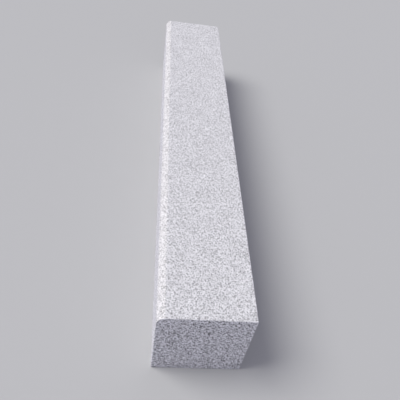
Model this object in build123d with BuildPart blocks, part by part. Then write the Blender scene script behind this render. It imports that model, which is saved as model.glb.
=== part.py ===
# Natural stone kerb: one sawn block of granite with a rounded front arris.
#
# X runs along the kerb line, Y from the front face (towards the road) to the back face,
# and Z up from the bed. The origin is the middle of the bed face.
import os

from build123d import *

# Driving dimensions, in millimetres
length = 1000.0         # one end joint to the other
width = 150.0           # front face to back face
height = 150.0          # bed face to top face
nosing_radius = 15.0    # round between the front face and the top face
arris_ease = 1.0        # how far the flat rubbed on each sawn arris reaches over both its faces

with BuildPart() as kerb_stone:
    # Cross-section at one end: a sawn rectangle standing on its bed, with the upper front
    # corner worked to the nosing radius. The sketch's own X runs to the back and its Y up.
    with BuildSketch(Plane.YZ.offset(-length / 2)) as section:
        Rectangle(width, height, align=(Align.CENTER, Align.MIN))
        front_corners = section.vertices().group_by(Axis.X)[0]
        nosing_corner = front_corners.sort_by(Axis.Y)[-1]
        fillet(nosing_corner, radius=nosing_radius)
    extrude(amount=length)

    # The three long arrises that stay square: front of the bed, back of the bed, back of the top.
    # Both lines where the nosing runs into its flat faces are tangent, so they are left alone.
    long_edges = kerb_stone.edges().filter_by(Axis.X)
    bed_arrises = long_edges.group_by(Axis.Z)[0]
    back_top_arris = long_edges.group_by(Axis.Y)[-1].sort_by(Axis.Z)[-1]
    chamfer(bed_arrises + [back_top_arris], length=arris_ease)

    # The outline of each sawn end is eased all the way round, over the nosing too.
    sawn_ends = kerb_stone.faces().filter_by(Axis.X)
    chamfer(sawn_ends.edges(), length=arris_ease)

kerb_stone.part.label = "kerb_stone"

os.makedirs("parts", exist_ok=True)
export_step(kerb_stone.part, "parts/kerb_stone.step")
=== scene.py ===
"""Natural stone kerb: a sawn granite block with a dressed top, nosing and front, on a plain stage."""

import math

import bpy
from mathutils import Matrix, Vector


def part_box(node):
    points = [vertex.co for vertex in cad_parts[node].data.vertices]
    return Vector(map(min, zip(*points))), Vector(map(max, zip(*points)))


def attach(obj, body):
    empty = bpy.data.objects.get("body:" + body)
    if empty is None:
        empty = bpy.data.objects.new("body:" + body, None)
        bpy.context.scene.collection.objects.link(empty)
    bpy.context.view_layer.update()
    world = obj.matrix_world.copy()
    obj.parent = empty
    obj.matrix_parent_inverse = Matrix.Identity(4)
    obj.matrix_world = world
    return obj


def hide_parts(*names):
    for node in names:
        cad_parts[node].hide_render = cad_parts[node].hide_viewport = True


bl_info = {
    "name": "Natural Stone Kerb",
    "version": (1, 0, 0),
    "blender": (4, 5, 0),
    "location": "View3D > Sidebar > Kerb",
    "description": "Dresses the solid kerb as a block of speckled granite and sets a plain stage round it",
    "category": "Mesh",
}

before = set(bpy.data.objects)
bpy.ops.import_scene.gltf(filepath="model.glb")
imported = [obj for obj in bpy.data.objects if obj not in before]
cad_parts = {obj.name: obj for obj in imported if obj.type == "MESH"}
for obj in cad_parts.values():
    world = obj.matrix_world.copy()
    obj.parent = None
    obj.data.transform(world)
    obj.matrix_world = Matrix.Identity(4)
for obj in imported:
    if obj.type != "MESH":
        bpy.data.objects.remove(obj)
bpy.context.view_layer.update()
STONE_LOW, STONE_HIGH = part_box("kerb_stone")
STONE_SIZE = STONE_HIGH - STONE_LOW

# Names of the values that the block's mesh carries for its granite
DRESSED = "dressed"        # 1 on the dressed faces, 0 on the sawn ones
ARRIS_GAP = "arris_gap"    # distance to the nearest sharp arris, in metres
NOSING_IN = "nosing_in"    # distance inside the edge of the rubbed nosing, in metres
SAW_LINE = "saw_line"      # place along the cut on a sawn face, in metres
FACE_PLACE = "face_place"  # place on the flat face, apart from the other faces, in metres
BAKE_MAP = "OFBake"        # the texture map


# Settings

class KerbBlockSettings(bpy.types.PropertyGroup):
    """Sizes of the block and of the marks that its making left on it"""

    length: bpy.props.FloatProperty(
        name="Length",
        description="From one end joint to the other",
        default=STONE_SIZE.x,
        unit="LENGTH",
    )
    width: bpy.props.FloatProperty(
        name="Width",
        description="From the front face to the back face",
        default=STONE_SIZE.y,
        unit="LENGTH",
    )
    height: bpy.props.FloatProperty(
        name="Height",
        description="From the bed face to the top face",
        default=STONE_SIZE.z,
        unit="LENGTH",
    )
    nosing_radius: bpy.props.FloatProperty(
        name="Nosing Radius",
        description="Round between the front face and the top face",
        default=0.015,
        precision=4,
        unit="LENGTH",
    )
    nosing_band: bpy.props.FloatProperty(
        name="Nosing Band",
        description="How far the rubbed finish of the nosing reaches on the top and on the front",
        default=0.0125,
        precision=4,
        unit="LENGTH",
    )
    arris_ease: bpy.props.FloatProperty(
        name="Arris Ease",
        description="How far the rubbing of a sawn arris reaches on each of its faces",
        default=0.0011,
        precision=5,
        unit="LENGTH",
    )
    chip_reach: bpy.props.FloatProperty(
        name="Chip Reach",
        description="How much further the deepest chips of an arris reach",
        default=0.0036,
        precision=5,
        unit="LENGTH",
    )
    chip_spacing: bpy.props.FloatProperty(
        name="Chip Spacing",
        description="Typical distance between neighbouring chips along an arris",
        default=0.020,
        precision=4,
        unit="LENGTH",
    )
    dressing_depth: bpy.props.FloatProperty(
        name="Dressing Depth",
        description="Depth of the shallow hollows on the dressed faces",
        default=0.00035,
        precision=5,
        unit="LENGTH",
    )
    dressing_grain: bpy.props.FloatProperty(
        name="Dressing Grain",
        description="Width of the shallow hollows on the dressed faces",
        default=0.007,
        precision=4,
        unit="LENGTH",
    )
    saw_sweep: bpy.props.FloatProperty(
        name="Saw Sweep",
        description="Radius of the arcs that the saw left on the sawn faces",
        default=0.55,
        unit="LENGTH",
    )
    rows_along: bpy.props.IntProperty(
        name="Rows Along",
        description="Rows of vertices along the block",
        default=381,
        min=3,
    )
    rows_across: bpy.props.IntProperty(
        name="Rows Across",
        description="Rows of vertices across each side of the section",
        default=57,
        min=3,
    )
    seed: bpy.props.FloatProperty(
        name="Seed",
        description="Picks the pattern of chips and hollows",
        default=4.0,
    )


class GraniteSettings(bpy.types.PropertyGroup):
    """Colours and sizes of the minerals in the granite"""

    plagioclase: bpy.props.FloatVectorProperty(
        name="Plagioclase",
        description="White feldspar, the most common crystal",
        default=(0.80, 0.792, 0.812),
        subtype="COLOR",
    )
    orthoclase: bpy.props.FloatVectorProperty(
        name="Orthoclase",
        description="Pale grey feldspar with a trace of lilac",
        default=(0.72, 0.712, 0.734),
        subtype="COLOR",
    )
    quartz: bpy.props.FloatVectorProperty(
        name="Quartz",
        description="Glassy grey crystals",
        default=(0.37, 0.366, 0.378),
        subtype="COLOR",
    )
    biotite: bpy.props.FloatVectorProperty(
        name="Biotite",
        description="Black mica, in small flecks",
        default=(0.03, 0.0295, 0.031),
        subtype="COLOR",
    )
    bruise: bpy.props.FloatVectorProperty(
        name="Bruise",
        description="Crushed crystal, which whitens the dressed faces and the worn arrises",
        default=(0.84, 0.83, 0.85),
        subtype="COLOR",
    )
    quartz_share: bpy.props.FloatProperty(
        name="Quartz Share",
        description="Share of the crystals that are quartz",
        default=0.27,
        subtype="FACTOR",
    )
    orthoclase_share: bpy.props.FloatProperty(
        name="Orthoclase Share",
        description="Share of the crystals that are orthoclase. What is left is plagioclase",
        default=0.35,
        subtype="FACTOR",
    )
    crystal_size: bpy.props.FloatProperty(
        name="Crystal Size",
        description="Typical width of the feldspar and quartz crystals",
        default=0.0015,
        precision=5,
        unit="LENGTH",
    )
    fleck_size: bpy.props.FloatProperty(
        name="Fleck Size",
        description="Width of the largest biotite flecks",
        default=0.0025,
        precision=5,
        unit="LENGTH",
    )
    fleck_spacing: bpy.props.FloatProperty(
        name="Fleck Spacing",
        description="Typical distance between neighbouring biotite flecks",
        default=0.0037,
        precision=5,
        unit="LENGTH",
    )
    dressed_whiteness: bpy.props.FloatProperty(
        name="Dressed Whiteness",
        description="How much crushed crystal covers the dressed faces",
        default=0.30,
        subtype="FACTOR",
    )
    worn_whiteness: bpy.props.FloatProperty(
        name="Worn Whiteness",
        description="How much crushed crystal covers the most worn stretches of an arris",
        default=0.50,
        subtype="FACTOR",
    )
    # Partly the nosing's smoother finish, partly painted light: the nosing is painted paler in place of the
    # shade that the pits of the other dressed faces hold
    nosing_tone_and_painted_light: bpy.props.FloatVectorProperty(
        name="Nosing Tone And Painted Light",
        description="How much paler and warmer the rubbed nosing is than the pitted faces, which are at 1",
        default=(1.080, 1.070, 1.050),
        subtype="COLOR",
    )
    saw_pitch: bpy.props.FloatProperty(
        name="Saw Pitch",
        description="Distance from one arc of the saw to the next",
        default=0.006,
        precision=4,
        unit="LENGTH",
    )


class StageSettings(bpy.types.PropertyGroup):
    """Floor, light and camera"""

    floor_colour: bpy.props.FloatVectorProperty(
        name="Floor Colour",
        description="Pale floor and background",
        default=(0.50, 0.50, 0.50),
        subtype="COLOR",
    )
    floor_bounce: bpy.props.FloatVectorProperty(
        name="Floor Bounce",
        description="The floor's colour in the light that it sends back to the stone",
        default=(0.68, 0.68, 0.74),
        subtype="COLOR",
    )
    key_strength: bpy.props.FloatProperty(
        name="Key Strength",
        description="Light of the key lamp on a surface that faces it, where 1 shows a colour as written",
        default=0.755,
    )
    key_colour: bpy.props.FloatVectorProperty(
        name="Key Colour",
        description="Colour of the key lamp, a trace warm",
        default=(1.0, 0.995, 0.97),
        subtype="COLOR",
    )
    key_elevation: bpy.props.FloatProperty(
        name="Key Elevation",
        description="Height of the key lamp above the floor",
        default=math.radians(54.5),
        subtype="ANGLE",
    )
    key_turn: bpy.props.FloatProperty(
        name="Key Turn",
        description="How far the key lamp is turned from straight in front towards the far end",
        default=math.radians(10),
        subtype="ANGLE",
    )
    key_softness: bpy.props.FloatProperty(
        name="Key Softness",
        description="Width of the key lamp as seen from the stone",
        default=math.radians(36),
        subtype="ANGLE",
    )
    sky_colour: bpy.props.FloatVectorProperty(
        name="Sky Colour",
        description="Fill light from all round, slightly cool",
        default=(0.40, 0.40, 0.47),
        subtype="COLOR",
    )
    camera_place: bpy.props.FloatVectorProperty(
        name="Camera Place",
        description="Above the near end, a little out from the front face",
        default=(0.8565, -0.1019, 0.7170),
        subtype="XYZ",
        unit="LENGTH",
    )
    camera_turn: bpy.props.FloatVectorProperty(
        name="Camera Turn",
        description="Tilt, roll and heading of the camera",
        default=(math.radians(43.01), math.radians(-8.39), math.radians(87.43)),
        subtype="EULER",
    )
    camera_lens: bpy.props.FloatProperty(
        name="Camera Lens",
        description="Focal length in millimetres on a sensor 36 mm wide",
        default=41.49,
    )
    camera_shift: bpy.props.FloatVectorProperty(
        name="Camera Shift",
        description="How far the frame sits off the lens axis, in widths of the frame",
        default=(-0.0177, 0.0802),
        size=2,
    )


# Node trees written as expressions

def find_socket(sockets, key):
    """The socket with this number, or the one in use that has this name."""
    if isinstance(key, int):
        return sockets[key]
    return next(socket for socket in sockets if socket.enabled and socket.name == key)


class Wire:
    """An output socket of a node tree. Arithmetic on it adds a Math or a Vector Math node."""

    def __init__(self, graph, socket):
        self.graph = graph
        self.socket = socket

    def out(self, name):
        """Another output of the same node."""
        return Wire(self.graph, find_socket(self.socket.node.outputs, name))

    def __add__(self, other):
        return self.graph.math("ADD", self, other)

    def __radd__(self, other):
        return self.graph.math("ADD", other, self)

    def __sub__(self, other):
        return self.graph.math("SUBTRACT", self, other)

    def __rsub__(self, other):
        return self.graph.math("SUBTRACT", other, self)

    def __mul__(self, other):
        return self.graph.math("MULTIPLY", self, other)

    def __rmul__(self, other):
        return self.graph.math("MULTIPLY", other, self)

    def __truediv__(self, other):
        return self.graph.math("DIVIDE", self, other)

    def __rtruediv__(self, other):
        return self.graph.math("DIVIDE", other, self)

    def __pow__(self, other):
        return self.graph.math("POWER", self, other)

    def __gt__(self, other):
        return self.graph.math("GREATER_THAN", self, other)

    def __lt__(self, other):
        return self.graph.math("LESS_THAN", self, other)

    def __abs__(self):
        return self.graph.math("ABSOLUTE", self)

    def sign(self):
        return self.graph.math("SIGN", self)

    def sine(self):
        return self.graph.math("SINE", self)

    def larger(self, other):
        return self.graph.math("MAXIMUM", self, other)

    def smaller(self, other):
        return self.graph.math("MINIMUM", self, other)

    def ramp(self, low, high):
        """A smooth step from 0 at low to 1 at high, which may lie either way round."""
        inputs = {"Value": self, "From Min": low, "From Max": high}
        return self.graph.node("ShaderNodeMapRange", {"interpolation_type": "SMOOTHSTEP"}, inputs)

    def parts(self):
        """The three numbers of a vector, or of a colour as red, green and blue."""
        first = self.graph.node("ShaderNodeSeparateXYZ", {}, {"Vector": self})
        return [first, first.out("Y"), first.out("Z")]


class Graph:
    """A node tree that is being written."""

    def __init__(self, tree):
        self.tree = tree
        tree.nodes.clear()

    def node(self, kind, settings=None, inputs=None):
        """Adds a node with its settings, then its sockets' values or wires, and gives its first output."""
        made = self.tree.nodes.new(kind)
        for name, value in (settings or {}).items():
            if name == "stops":
                self.set_stops(made.color_ramp, value)
            else:
                setattr(made, name, value)
        for key, value in (inputs or {}).items():
            socket = find_socket(made.inputs, key)
            if isinstance(value, Wire):
                self.tree.links.new(value.socket, socket)
            elif socket.type == "VECTOR" and isinstance(value, (int, float)):
                socket.default_value = (value,) * 3
            elif socket.type == "RGBA":
                socket.default_value = (*value[:3], 1.0)
            else:
                socket.default_value = value
        return next((Wire(self, socket) for socket in made.outputs if socket.enabled), None)

    @staticmethod
    def set_stops(ramp, stops):
        """Bands of flat colour, each from its own place up to the next."""
        ramp.interpolation = "CONSTANT"
        while len(ramp.elements) < len(stops):
            ramp.elements.new(1.0)
        for element, (place, colour) in zip(ramp.elements, stops):
            element.position = place
            element.color = (*colour, 1.0)

    def math(self, operation, *values):
        """One operation on these values, wires or numbers."""
        kinds = {value.socket.type for value in values if isinstance(value, Wire)}
        node = "ShaderNodeVectorMath" if kinds & {"VECTOR", "RGBA"} else "ShaderNodeMath"
        return self.node(node, {"operation": operation}, dict(enumerate(values)))

    def vector(self, x, y, z):
        return self.node("ShaderNodeCombineXYZ", {}, {"X": x, "Y": y, "Z": z})

    def mix(self, share, first, second):
        """A colour between two others."""
        return self.node("ShaderNodeMix", {"data_type": "RGBA"}, {"Factor": share, "A": first, "B": second})

    def noise(self, place, grain, seed=0.0, detail=2.0, roughness=0.55):
        """Smooth noise from 0 to 1 with humps about as wide as grain."""
        settings = {"noise_dimensions": "4D"}
        inputs = {"Vector": place, "W": seed, "Scale": 1 / grain, "Detail": detail, "Roughness": roughness}
        return self.node("ShaderNodeTexNoise", settings, inputs)

    def cells(self, place, width, dimensions="3D"):
        """Cells of this width. The first output is the distance from a cell's middle, in widths."""
        settings = {"voronoi_dimensions": dimensions}
        return self.node("ShaderNodeTexVoronoi", settings, {"Vector": place, "Scale": 1 / width})


# The block's shape

class BlockGraph(Graph):
    """The block's Geometry Nodes, with one input for each of its settings and one for its granite."""

    def __init__(self, tree, settings):
        super().__init__(tree)
        kinds = {"FLOAT": "NodeSocketFloat", "INT": "NodeSocketInt"}
        self.sockets = {}
        for key in KerbBlockSettings.__annotations__:
            known = settings.bl_rna.properties[key]
            self.sockets[key] = tree.interface.new_socket(known.name, socket_type=kinds[known.type])
        self.sockets["granite"] = tree.interface.new_socket("Granite", socket_type="NodeSocketMaterial")
        tree.interface.new_socket("Block", in_out="OUTPUT", socket_type="NodeSocketGeometry")
        inputs = self.node("NodeGroupInput")
        self.given = {key: inputs.out(socket.name) for key, socket in self.sockets.items()}
        self.half = [self.given[key] / 2 for key in ("length", "width", "height")]

    def position(self):
        return self.node("GeometryNodeInputPosition")

    def normal(self):
        return self.node("GeometryNodeInputNormal")

    def carried(self, name):
        """A number that the mesh carries."""
        return self.node("GeometryNodeInputNamedAttribute", {"data_type": "FLOAT"}, {"Name": name})

    def store(self, mesh, name, value, kind, domain):
        """The mesh with one more value to carry."""
        settings = {"data_type": kind, "domain": domain}
        inputs = {"Geometry": mesh, "Name": name, "Value": value}
        return self.node("GeometryNodeStoreNamedAttribute", settings, inputs)

    def move_to(self, mesh, x, y, z):
        """The mesh with its vertices at these places."""
        inputs = {"Geometry": mesh, "Position": self.vector(x, y, z)}
        return self.node("GeometryNodeSetPosition", {}, inputs)

    def at_nosing(self, y, z):
        """1 in the corner that the nosing rounds, 0 elsewhere."""
        radius = self.given["nosing_radius"]
        return (y < radius - self.half[1]) * (z > self.half[2] - radius)


def crowd_to_arris(value, half):
    """Moves evenly spaced rows towards the two arrises that they end at."""
    crowding = 1.35
    share = abs(value) / half
    return value.sign() * half * (1 - (1 - share) ** crowding)


def start_box(graph):
    """A box with its middle at the origin and its rows drawn towards the arrises."""
    given = graph.given
    inputs = {
        "Size": graph.vector(given["length"], given["width"], given["height"]),
        "Vertices X": given["rows_along"],
        "Vertices Y": given["rows_across"],
        "Vertices Z": given["rows_across"],
    }
    mesh = graph.node("GeometryNodeMeshCube", {}, inputs)
    places = zip(graph.position().parts(), graph.half)
    return graph.move_to(mesh, *[crowd_to_arris(value, half) for value, half in places])


def face_masks(graph):
    """For each flat face of the box, 1 on it and 0 on the others."""
    squarely = 0.5
    settings = {"data_type": "FLOAT_VECTOR", "domain": "FACE"}
    facing = graph.node("GeometryNodeFieldOnDomain", settings, {"Value": graph.normal()})
    x, y, z = facing.parts()
    return {
        "near_end": x > squarely,
        "far_end": x < -squarely,
        "back": y > squarely,
        "front": y < -squarely,
        "top": z > squarely,
        "bed": z < -squarely,
    }


def bake_lanes(graph, share, faces):
    """Lays the block's faces out side by side on its texture map, the dressed ones widest."""
    lane_width = {"top": 0.25, "front": 0.23, "back": 0.19, "bed": 0.14, "ends": 0.15}
    lane_gap = 0.008
    edge_gap = 0.004
    along, across, up = share
    on_end = faces["near_end"] + faces["far_end"]
    sides = {
        "top": (faces["top"], across),
        "front": (faces["front"], up),
        "back": (faces["back"], up),
        "bed": (faces["bed"], across),
        "ends": (on_end, up),
    }
    low = edge_gap
    lane = 0
    for name, (mask, place) in sides.items():
        lane = lane + mask * (low + place * (lane_width[name] - lane_gap))
        low += lane_width[name]
    end_run = (across * (1 - 4 * edge_gap) + 2 * edge_gap + faces["near_end"]) / 2
    long_run = edge_gap + along * (1 - 2 * edge_gap)
    run = long_run + on_end * (end_run - long_run)
    return graph.vector(run, lane, 0.0)


def mark_faces(graph, mesh):
    """Stores what the granite and its texture map need to know, while the faces are still flat."""
    given = graph.given
    half = graph.half
    faces = face_masks(graph)
    x, y, z = graph.position().parts()
    share = [value / (reach * 2) + 0.5 for value, reach in zip((x, y, z), half)]
    mesh = graph.store(mesh, BAKE_MAP, bake_lanes(graph, share, faces), "FLOAT2", "CORNER")
    mesh = graph.store(mesh, DRESSED, faces["top"] + faces["front"], "FLOAT", "FACE")

    # Places on the faces, each face in a strip of its own
    along = x + (faces["near_end"] + faces["far_end"]) * (y - x)
    across = z + (faces["top"] + faces["bed"]) * (y - z)
    number = sum(faces[name] * count for count, name in enumerate(faces))
    face_place = graph.vector(along, across + number * given["height"] * 2, 0.0)
    mesh = graph.store(mesh, FACE_PLACE, face_place, "FLOAT_VECTOR", "CORNER")
    saw_line = along - across * across / (given["saw_sweep"] * 2)
    mesh = graph.store(mesh, SAW_LINE, saw_line, "FLOAT", "CORNER")

    # Distances to the sharp arrises, where the nosing counts as a metre away, and into the rubbed nosing
    end_gap, side_gap, level_gap = [reach - abs(value) for value, reach in zip((x, y, z), half)]
    long_arris = side_gap.larger(level_gap) + graph.at_nosing(y, z)
    end_arris = end_gap.larger(side_gap).smaller(end_gap.larger(level_gap))
    mesh = graph.store(mesh, ARRIS_GAP, end_arris.smaller(long_arris), "FLOAT", "POINT")
    behind_front = y + half[1]
    below_top = half[2] - z
    nosing_in = given["nosing_band"] - behind_front.larger(below_top)
    return graph.store(mesh, NOSING_IN, nosing_in, "FLOAT", "POINT")


def corner_pull(first_in, second_in):
    """The share of its way into a square corner that a point gives up to make the corner round."""
    distance = (first_in * first_in + second_in * second_in) ** 0.5
    return 1 - first_in.larger(second_in) / distance


def ease_arris(first, first_half, second, second_half, reach):
    """Rounds the arris between two pairs of faces, within reach of it."""
    first_in = (abs(first) - (first_half - reach)).larger(0.0)
    second_in = (abs(second) - (second_half - reach)).larger(0.0)
    pull = corner_pull(first_in, second_in)
    eased_first = first - first.sign() * first_in * pull
    eased_second = second - second.sign() * second_in * pull
    return eased_first, eased_second


def round_nosing(y, z, half_width, half_height, radius):
    """Bends the square front corner of the top, with what lies inside it, round to the nosing."""
    forward = (y + (half_width - radius)).smaller(0.0)
    upward = (z - (half_height - radius)).larger(0.0)
    pull = corner_pull(0 - forward, upward)
    return y - forward * pull, z - upward * pull


def wear_arrises(graph, mesh):
    """Rubs the arrises all along, unevenly, chips them here and there, and rounds the nosing."""
    rubbing_width = 0.25  # in chip spacings
    least_rubbing = 0.5
    chip_edge = 0.60
    chip_middle = 0.78
    given = graph.given
    half = graph.half
    place = graph.position()
    x, y, z = place.parts()
    rubbing = graph.noise(place, given["chip_spacing"] * rubbing_width, given["seed"]) + least_rubbing
    chipping = graph.noise(place, given["chip_spacing"], given["seed"] + 1.0, detail=3.0)
    chip = chipping.ramp(chip_edge, chip_middle)
    reach = given["arris_ease"] * rubbing + given["chip_reach"] * chip
    square = 1 - graph.at_nosing(y, z)
    x, y = ease_arris(x, half[0], y, half[1], reach)
    x, z = ease_arris(x, half[0], z, half[2], reach)
    y, z = ease_arris(y, half[1], z, half[2], reach * square)
    y, z = round_nosing(y, z, half[1], half[2], given["nosing_radius"])
    return graph.move_to(mesh, x, y, z + half[2])


def cut_hollows(graph, mesh):
    """Sinks shallow hollows into the dressed faces, shallower ones on the rubbed nosing."""
    rubbed_away = 0.6    # share of the depth that the nosing has lost
    rub_blend = 0.002    # metres over which it is lost
    given = graph.given
    hollow = graph.noise(graph.position(), given["dressing_grain"], given["seed"] + 2.0, detail=3.0)
    rubbed = graph.carried(NOSING_IN).ramp(0.0, rub_blend)
    depth = given["dressing_depth"] * (1 - rubbed_away * rubbed)
    inward = graph.normal() * (graph.carried(DRESSED) * hollow * depth * -1.0)
    return graph.node("GeometryNodeSetPosition", {}, {"Geometry": mesh, "Offset": inward})


def shade_smooth(graph, mesh):
    """Smooth shading that breaks only at the sharp arrises."""
    sharp_angle = math.radians(32)
    sharp = graph.node("GeometryNodeInputMeshEdgeAngle") > sharp_angle
    mesh = graph.node("GeometryNodeSetShadeSmooth", {"domain": "FACE"}, {"Geometry": mesh})
    inputs = {"Geometry": mesh, "Selection": sharp, "Shade Smooth": False}
    return graph.node("GeometryNodeSetShadeSmooth", {"domain": "EDGE"}, inputs)


def block_tree(settings):
    """Geometry Nodes for the block, and the sockets of their inputs."""
    graph = BlockGraph(bpy.data.node_groups.new("kerb_block", "GeometryNodeTree"), settings)
    mesh = start_box(graph)
    mesh = mark_faces(graph, mesh)
    mesh = wear_arrises(graph, mesh)
    mesh = cut_hollows(graph, mesh)
    mesh = shade_smooth(graph, mesh)
    mesh = graph.node("GeometryNodeRealizeInstances", {}, {"Geometry": mesh})
    inputs = {"Geometry": mesh, "Material": graph.given["granite"]}
    mesh = graph.node("GeometryNodeSetMaterial", {}, inputs)
    graph.node("NodeGroupOutput", {}, {"Block": mesh})
    return graph.tree, graph.sockets


# The block's granite

def carried(graph, name, output="Fac"):
    """What the block's mesh carries under this name: a number, or a vector from the output Vector."""
    return graph.node("ShaderNodeAttribute", {"attribute_name": name}).out(output)


def crystal_mosaic(graph, place, settings):
    """Crystals with uneven borders, each of one mineral and one shade: their cells, then their colour."""
    border_waver = 0.9        # in crystal widths
    patch_width = 0.45        # of the patches inside a crystal, in crystal widths
    darkest_shade = 0.80
    crystal_contrast = 0.24
    patch_contrast = 0.16
    waver = graph.noise(place, settings.crystal_size, detail=1.0).out("Color")
    bent = place + (waver - 0.5) * (settings.crystal_size * border_waver)
    crystal = graph.cells(bent, settings.crystal_size)
    mineral, shade = crystal.out("Color").parts()[:2]
    stops = [
        (0.0, settings.quartz),
        (settings.quartz_share, settings.orthoclase),
        (settings.quartz_share + settings.orthoclase_share, settings.plagioclase),
    ]
    colour = graph.node("ShaderNodeValToRGB", {"stops": stops}, {"Fac": mineral})
    patch = graph.cells(bent, settings.crystal_size * patch_width).out("Color").parts()[0]
    return crystal, colour * (darkest_shade + shade * crystal_contrast + patch * patch_contrast)


def biotite_flecks(graph, place, sawn, settings):
    """Ragged flecks of many sizes, larger where they crowd and smaller where they were crushed."""
    layers = ((1.0, 1.0, 1.0), (0.5, 0.3, 2.0))  # parts of the spacing and of the size, and a seed
    crowd_width = 0.005        # metres
    crowd_levels = (0.3, 0.7)  # noise at which flecks start to crowd and crowd most
    ragged_width = 0.6         # of the humps along a fleck's border, in fleck widths
    mean_reach = 0.3           # from a fleck's middle to its border, in fleck widths
    sawn_growth = 0.15
    palest = 0.85
    face_place = carried(graph, FACE_PLACE, "Vector")
    crowd = graph.noise(place, crowd_width, seed=9.0).ramp(*crowd_levels)
    flecks = 0
    for spacing_part, size_part, seed in layers:
        spacing = settings.fleck_spacing * spacing_part
        width = settings.fleck_size * size_part
        ragged = graph.noise(place, width * ragged_width, seed, detail=1.0) - 0.5
        fleck = graph.cells(face_place + seed, spacing, "2D")
        growth, depth = fleck.out("Color").parts()[:2]
        reach = (growth + crowd) * (1 + sawn * sawn_growth) * (width * mean_reach)
        inside = fleck * spacing + ragged * width < reach
        flecks = (inside * (palest + depth * (1 - palest))).larger(flecks)
    return flecks


def worn_stretches(graph, place):
    """Up to 1 where an arris is worn, in stretches along it."""
    wear_width = 0.003            # metres
    stretch_width = 0.005         # metres
    stretch_levels = (0.35, 0.7)  # noise at which the wear starts and is full
    near_arris = carried(graph, ARRIS_GAP).ramp(wear_width, 0.0)
    return near_arris * graph.noise(place, stretch_width).ramp(*stretch_levels)


def rubbed_band(graph, place, dressed):
    """1 on the rubbed nosing, with a slightly wavering border, and 0 beside it."""
    waver_width = 0.004         # metres
    waver_reach = 0.001         # metres from side to side
    border = (-0.0003, 0.0005)  # metres into the band, from its outer to its inner side
    waver = (graph.noise(place, waver_width, seed=7.0) - 0.5) * waver_reach
    return (carried(graph, NOSING_IN) + waver).ramp(*border) * dressed


def saw_arcs(graph, place, sawn, settings):
    """Arcs of the saw, from -1 to 1, which show in some patches of the sawn faces."""
    patch_width = 0.035        # metres
    patch_levels = (0.4, 0.7)  # noise at which the arcs start to show and show fully
    turn = carried(graph, SAW_LINE) * (math.tau / settings.saw_pitch)
    patches = graph.noise(place, patch_width, seed=3.0).ramp(*patch_levels)
    return turn.sine() * (patches * sawn)


def fine_relief(graph, place, crystal, dressed, rubbed, arcs, settings):
    """Relief finer than the mesh, in metres: rough where it was dressed and fine where it was sawn."""
    grit_width = 0.0022
    dressed_grit = 0.00055
    sawn_grit = 0.00012
    arc_depth = 0.00003
    crystal_slope = 0.10
    rubbed_away = 0.45      # share of the dressed relief that the nosing has lost
    grit = graph.noise(place, grit_width, seed=5.0, detail=3.0, roughness=0.7)
    crystal_height = crystal * settings.crystal_size * crystal_slope
    dressed_relief = (grit * dressed_grit + crystal_height) * (1 - rubbed * rubbed_away)
    sawn_relief = grit * sawn_grit + arcs * arc_depth
    return sawn_relief + dressed * (dressed_relief - sawn_relief)


def granite_material(settings):
    """Speckled granite, crushed to a paler tone where it was dressed and keen where it was sawn."""
    cloud_width = 0.024     # metres
    cloud_contrast = 0.26
    arc_contrast = 0.02
    sawn_roughness = 0.62
    crystal_dulling = 0.16
    biotite_gloss = 0.12
    dressed_roughness = 0.90
    gloss = 0.4
    material = bpy.data.materials.new("granite")
    material.use_nodes = True
    graph = Graph(material.node_tree)
    place = graph.node("ShaderNodeTexCoord").out("Object")
    dressed = carried(graph, DRESSED)
    sawn = 1 - dressed

    # Minerals, then the crushed crystal on the dressed faces and along worn arrises
    crystal, colour = crystal_mosaic(graph, place, settings)
    flecks = biotite_flecks(graph, place, sawn, settings)
    colour = graph.mix(flecks, colour, settings.biotite)
    worn = worn_stretches(graph, place) * settings.worn_whiteness
    crushed = (dressed * settings.dressed_whiteness).larger(worn)
    colour = graph.mix(crushed, colour, settings.bruise)

    # Slow changes of tone through the stone, the saw's faint arcs, and the paler nosing: partly its
    # smoother finish, partly painted light in place of the shade that the pits of the other dressed faces
    # hold
    cloud = graph.noise(place, cloud_width, detail=4.0) - 0.5
    arcs = saw_arcs(graph, place, sawn, settings)
    rubbed = rubbed_band(graph, place, dressed)
    # Painted light: the rubbed nosing is painted paler and warmer, partly for its smoother finish and
    # partly in place of the shade held in the pits of the other dressed faces
    nosing_tone_and_painted_light = graph.mix(rubbed, (1.0, 1.0, 1.0), settings.nosing_tone_and_painted_light)
    colour = colour * (1 + cloud * cloud_contrast + arcs * arc_contrast) * nosing_tone_and_painted_light

    # Crystals of uneven gloss where it was sawn, matt where it was dressed
    dullness = crystal.out("Color").parts()[2]
    sheen = sawn_roughness + dullness * crystal_dulling - flecks * biotite_gloss
    roughness = sheen + dressed * (dressed_roughness - sheen)
    relief = fine_relief(graph, place, crystal, dressed, rubbed, arcs, settings)
    bump = graph.node("ShaderNodeBump", {}, {"Height": relief, "Strength": 1.0, "Distance": 1.0})
    inputs = {"Base Color": colour, "Roughness": roughness, "Normal": bump, "Specular IOR Level": gloss}
    surface = graph.node("ShaderNodeBsdfPrincipled", {}, inputs)
    graph.node("ShaderNodeOutputMaterial", {}, {"Surface": surface})
    return material


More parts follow.
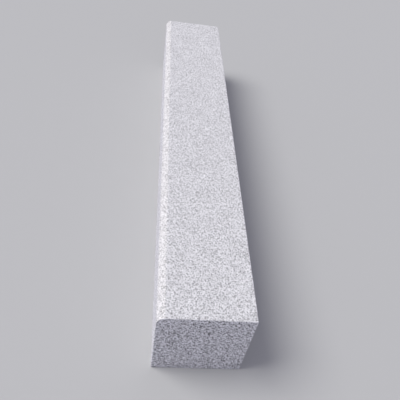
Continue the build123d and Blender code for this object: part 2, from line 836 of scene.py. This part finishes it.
class KERB_OT_lay_block(bpy.types.Operator):
    """Make the granite block and put it in the place of its solid"""

    bl_idname = "kerb.lay_block"
    bl_label = "Lay Kerb Block"

    def execute(self, context):
        settings = context.scene.kerb_block
        block = bpy.data.objects.new("kerb_block", bpy.data.meshes.new("kerb_block_start"))
        context.scene.collection.objects.link(block)
        tree, sockets = block_tree(settings)
        material = granite_material(context.scene.kerb_granite)
        shaper = block.modifiers.new("shape", "NODES")
        shaper.node_group = tree
        for key, socket in sockets.items():
            shaper[socket.identifier] = material if key == "granite" else getattr(settings, key)
        evaluated = block.evaluated_get(context.evaluated_depsgraph_get())
        mesh = bpy.data.meshes.new_from_object(evaluated)
        if not mesh.polygons:
            raise RuntimeError("the kerb block came out without faces")
        block.modifiers.remove(shaper)
        block.data = mesh
        mesh.name = "kerb_block"
        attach(block, "root")
        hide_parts("kerb_stone")
        return {"FINISHED"}


# The stage

def background_seen(graph):
    """1 for the rays that show the background: the camera's own, in gloss and through glass."""
    rays = graph.node("ShaderNodeLightPath")
    seen = rays.out("Is Camera Ray").larger(rays.out("Is Glossy Ray"))
    return seen.larger(rays.out("Is Transmission Ray"))


def floor_material(settings):
    """Pale and matt. The light that it sends back to the stone is a little stronger than it looks."""
    material = bpy.data.materials.new("floor")
    material.use_nodes = True
    graph = Graph(material.node_tree)
    colour = graph.mix(background_seen(graph), settings.floor_bounce, settings.floor_colour)
    surface = graph.node("ShaderNodeBsdfDiffuse", {}, {"Color": colour})
    graph.node("ShaderNodeOutputMaterial", {}, {"Surface": surface})
    return material


def lay_floor(context, settings):
    """A wide disc at the level of the bed."""
    radius = 40.0
    sides = 96
    turns = [math.tau * side / sides for side in range(sides)]
    rim = [(radius * math.cos(turn), radius * math.sin(turn), STONE_LOW.z) for turn in turns]
    mesh = bpy.data.meshes.new("floor")
    mesh.from_pydata(rim, [], [range(sides)])
    mesh.materials.append(floor_material(settings))
    floor = bpy.data.objects.new("floor", mesh)
    context.scene.collection.objects.link(floor)


def light_sky(context, settings):
    """Even fill light, with the look of the lit floor where the camera looks past the floor."""
    world = bpy.data.worlds.new("sky")
    world.use_nodes = True
    graph = Graph(world.node_tree)
    key_on_floor = settings.key_strength * math.sin(settings.key_elevation)
    parts = zip(settings.floor_colour, settings.key_colour, settings.sky_colour)
    lit_floor = [floor * (key * key_on_floor + sky) for floor, key, sky in parts]
    colour = graph.mix(background_seen(graph), settings.sky_colour, lit_floor)
    sky = graph.node("ShaderNodeBackground", {}, {"Color": colour, "Strength": 1.0})
    graph.node("ShaderNodeOutputWorld", {}, {"Surface": sky})
    context.scene.world = world


def hang_key_lamp(context, settings):
    """One soft lamp over the front face's side, turned a little towards the far end."""
    distance = 3.0
    data = bpy.data.lights.new("key_lamp", "SUN")
    data.energy = settings.key_strength * math.pi
    data.color = settings.key_colour
    data.angle = settings.key_softness
    lamp = bpy.data.objects.new("key_lamp", data)
    level = math.cos(settings.key_elevation)
    towards_lamp = Vector((
        -level * math.sin(settings.key_turn),
        -level * math.cos(settings.key_turn),
        math.sin(settings.key_elevation),
    ))
    lamp.rotation_euler = towards_lamp.to_track_quat("Z", "Y").to_euler()
    lamp.location = towards_lamp * distance
    context.scene.collection.objects.link(lamp)


def set_camera(context, settings):
    """Looks down along the block from above its near end."""
    data = bpy.data.cameras.new("camera")
    data.sensor_width = 36.0
    data.lens = settings.camera_lens
    data.shift_x, data.shift_y = settings.camera_shift
    camera = bpy.data.objects.new("camera", data)
    camera.location = settings.camera_place
    camera.rotation_euler = settings.camera_turn
    context.scene.collection.objects.link(camera)
    context.scene.camera = camera


class KERB_OT_set_stage(bpy.types.Operator):
    """Lay a plain pale floor and set the lights and the camera"""

    bl_idname = "kerb.set_stage"
    bl_label = "Set Stage"

    def execute(self, context):
        settings = context.scene.kerb_stage
        lay_floor(context, settings)
        light_sky(context, settings)
        hang_key_lamp(context, settings)
        set_camera(context, settings)
        context.scene.view_settings.view_transform = "Standard"
        return {"FINISHED"}


# The sidebar and the script

class KERB_PT_sidebar(bpy.types.Panel):
    """Sizes, colours and steps of the kerb"""

    bl_idname = "KERB_PT_sidebar"
    bl_label = "Natural Stone Kerb"
    bl_space_type = "VIEW_3D"
    bl_region_type = "UI"
    bl_category = "Kerb"

    def draw(self, context):
        scene = context.scene
        for settings in (scene.kerb_block, scene.kerb_granite):
            for key in type(settings).__annotations__:
                self.layout.prop(settings, key)
        self.layout.operator(KERB_OT_lay_block.bl_idname)
        for key in StageSettings.__annotations__:
            self.layout.prop(scene.kerb_stage, key)
        self.layout.operator(KERB_OT_set_stage.bl_idname)


CLASSES = (
    KerbBlockSettings,
    GraniteSettings,
    StageSettings,
    KERB_OT_lay_block,
    KERB_OT_set_stage,
    KERB_PT_sidebar,
)


def register():
    for known in CLASSES:
        bpy.utils.register_class(known)
    bpy.types.Scene.kerb_block = bpy.props.PointerProperty(type=KerbBlockSettings)
    bpy.types.Scene.kerb_granite = bpy.props.PointerProperty(type=GraniteSettings)
    bpy.types.Scene.kerb_stage = bpy.props.PointerProperty(type=StageSettings)


def unregister():
    del bpy.types.Scene.kerb_stage
    del bpy.types.Scene.kerb_granite
    del bpy.types.Scene.kerb_block
    for known in reversed(CLASSES):
        bpy.utils.unregister_class(known)


def main():
    register()
    bpy.ops.kerb.lay_block()
    bpy.ops.kerb.set_stage()


if __name__ == "__main__":
    main()
